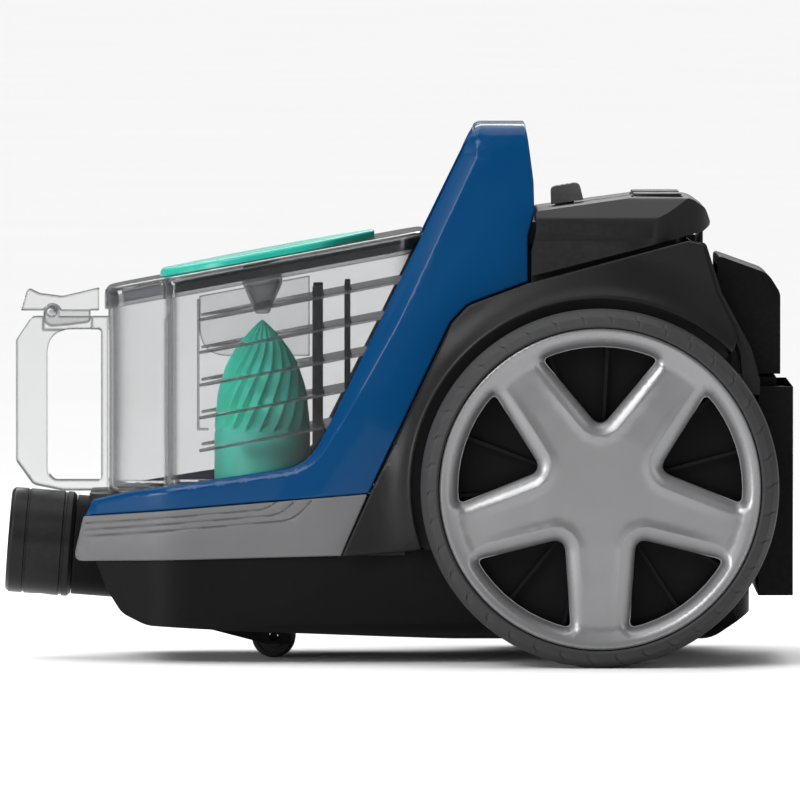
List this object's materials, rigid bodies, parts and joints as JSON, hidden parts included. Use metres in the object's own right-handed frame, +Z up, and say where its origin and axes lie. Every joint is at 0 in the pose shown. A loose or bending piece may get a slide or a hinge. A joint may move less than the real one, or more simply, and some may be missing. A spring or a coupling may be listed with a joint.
{
  "type": "canister vacuum cleaner",
  "caption": "Bagless canister vacuum cleaner with large spoked rear wheels, a clear cyclone dust bucket that lifts out, a hose socket at the nose and a fixed arched carrying handle.",
  "frame": {"origin": "on the floor, under the middle of the overall box", "axes": "-X towards the hose socket at the nose, +X towards the rear bumper, +Z up; the casing is mirrored about y = 0"},
  "size_m": [0.41, 0.247, 0.2795],
  "materials": {
    "black_plastic": "fine-grained satin black",
    "charcoal_plastic": "satin charcoal",
    "blue_plastic": "high gloss deep blue",
    "grey_plastic": "satin mid grey",
    "silver_plastic": "silver-grey satin paint",
    "tyre": "matt dark rubber",
    "rubber": "matt black rubber",
    "clear_plastic": "polished clear",
    "smoke_clear_plastic": "polished, lightly smoked",
    "teal_plastic": "satin teal",
    "filter_foam": "open-cell foam",
    "filter_paper": "pleated paper",
    "steel": "plain steel",
    "copper": "varnished copper windings",
    "circuit_board": "solder mask",
    "pale_plastic": "natural moulded plastic"
  },
  "bodies": {
    "body": {"bottom_tub": "black_plastic", "base_screw_1": "steel", "base_screw_2": "steel", "hose_collar": "black_plastic", "inlet_neck": "black_plastic", "inlet_duct": "black_plastic", "bucket_seat": "charcoal_plastic", "inlet_gasket": "rubber", "inner_housing": "charcoal_plastic", "upper_casing": "blue_plastic", "handle_liner": "blue_plastic", "left_side_trim": "grey_plastic", "right_side_trim": "grey_plastic", "left_wheel_arch": "charcoal_plastic", "right_wheel_arch": "charcoal_plastic", "top_cover": "charcoal_plastic", "reel_bracket": "steel", "reel_axle": "steel", "power_switch": "black_plastic", "control_board": "circuit_board", "cord_gland": "rubber", "motor_filter": "filter_foam", "fan_cover": "steel", "motor_can": "black_plastic", "stator": "steel", "motor_front_seal": "rubber", "rear_bumper": "black_plastic", "left_wheel_axle": "steel", "right_wheel_axle": "steel", "left_axle_clip": "steel", "right_axle_clip": "steel"},
    "left_wheel": {"left_tyre": "tyre", "left_wheel_body": "black_plastic", "left_wheel_cover": "silver_plastic"},
    "right_wheel": {"right_tyre": "tyre", "right_wheel_body": "black_plastic", "right_wheel_cover": "silver_plastic"},
    "caster": {"caster_swivel": "black_plastic", "caster_pin": "steel"},
    "roller": {"caster_roller": "rubber"},
    "bucket": {"dust_bucket": "clear_plastic", "bucket_handle": "clear_plastic", "cyclone_cone": "teal_plastic", "louvre_cage": "clear_plastic", "lever_pin": "steel"},
    "lid": {"bucket_lid": "smoke_clear_plastic", "lid_panel": "teal_plastic"},
    "lever": {"release_lever": "clear_plastic"},
    "slider": {"power_slider": "grey_plastic"},
    "rewind": {"rewind_button": "charcoal_plastic", "rewind_spring": "steel"},
    "power": {"power_button": "charcoal_plastic", "power_spring": "steel"},
    "brake": {"reel_brake_arm": "pale_plastic"},
    "exhaust": {"exhaust_cover": "black_plastic", "exhaust_filter_frame": "black_plastic", "exhaust_filter": "filter_paper"},
    "rotor": {"armature": "copper", "fan_impeller": "steel"},
    "reel": {"cord_reel": "pale_plastic"}
  },
  "joints": [
    {"name": "left_wheel_spin", "type": "hinge", "parent": "body", "child": "left_wheel", "pos_m": [0.1045, -0.1085, 0.0925], "axis": [0, 1, 0], "continuous": true},
    {"name": "right_wheel_spin", "type": "hinge", "parent": "body", "child": "right_wheel", "pos_m": [0.1045, 0.1085, 0.0925], "axis": [0, 1, 0], "continuous": true},
    {"name": "caster_swivel_turn", "type": "hinge", "parent": "body", "child": "caster", "pos_m": [-0.08258, 0, 0.03], "axis": [0, 0, 1], "continuous": true},
    {"name": "caster_roll", "type": "hinge", "parent": "caster", "child": "roller", "pos_m": [-0.06458, 0, 0.0115], "axis": [0, 1, 0], "continuous": true},
    {"name": "bucket_lift", "type": "slide", "parent": "body", "child": "bucket", "axis": [0, 0, 1], "range_m": [0, 0.17]},
    {"name": "lid_lift", "type": "slide", "parent": "bucket", "child": "lid", "axis": [0, 0, 1], "range_m": [0, 0.08]},
    {"name": "release_lever_press", "type": "hinge", "parent": "bucket", "child": "lever", "pos_m": [-0.1804, 0, 0.1805], "axis": [0, -1, 0], "range_deg": [0, 8], "stiffness_Nm_per_rad": 0.35, "springref_deg": -4.58},
    {"name": "suction_slider", "type": "slide", "parent": "body", "child": "slider", "axis": [0.9905, 0, 0.1377], "range_m": [0, 0.03]},
    {"name": "rewind_button_press", "type": "slide", "parent": "body", "child": "rewind", "axis": [0, 0, -1], "range_m": [0, 0.004], "stiffness_N_per_m": 700, "springref_m": -0.002, "deforming": ["rewind_spring"]},
    {"name": "power_button_press", "type": "slide", "parent": "body", "child": "power", "axis": [0, 0, -1], "range_m": [0, 0.004], "stiffness_N_per_m": 700, "springref_m": -0.002, "deforming": ["power_spring"]},
    {"name": "reel_brake_swing", "type": "hinge", "parent": "body", "child": "brake", "pos_m": [0.153, -0.033, 0.191], "axis": [0, -1, 0], "range_deg": [0, 13.6]},
    {"name": "exhaust_cover_open", "type": "hinge", "parent": "body", "child": "exhaust", "pos_m": [0.197, 0, 0.1515], "axis": [0, 1, 0], "range_deg": [0, 80]},
    {"name": "rotor_spin", "type": "hinge", "parent": "body", "child": "rotor", "pos_m": [0.1, 0, 0.086], "axis": [1, 0, 0], "continuous": true},
    {"name": "reel_spin", "type": "hinge", "parent": "body", "child": "reel", "pos_m": [0.093, 0, 0.16], "axis": [0, 0, 1], "continuous": true}
  ],
  "couplings": [
    {"joint": "reel_brake_swing", "follows": "rewind_button_press", "rad_per_m": 58.9}
  ]
}
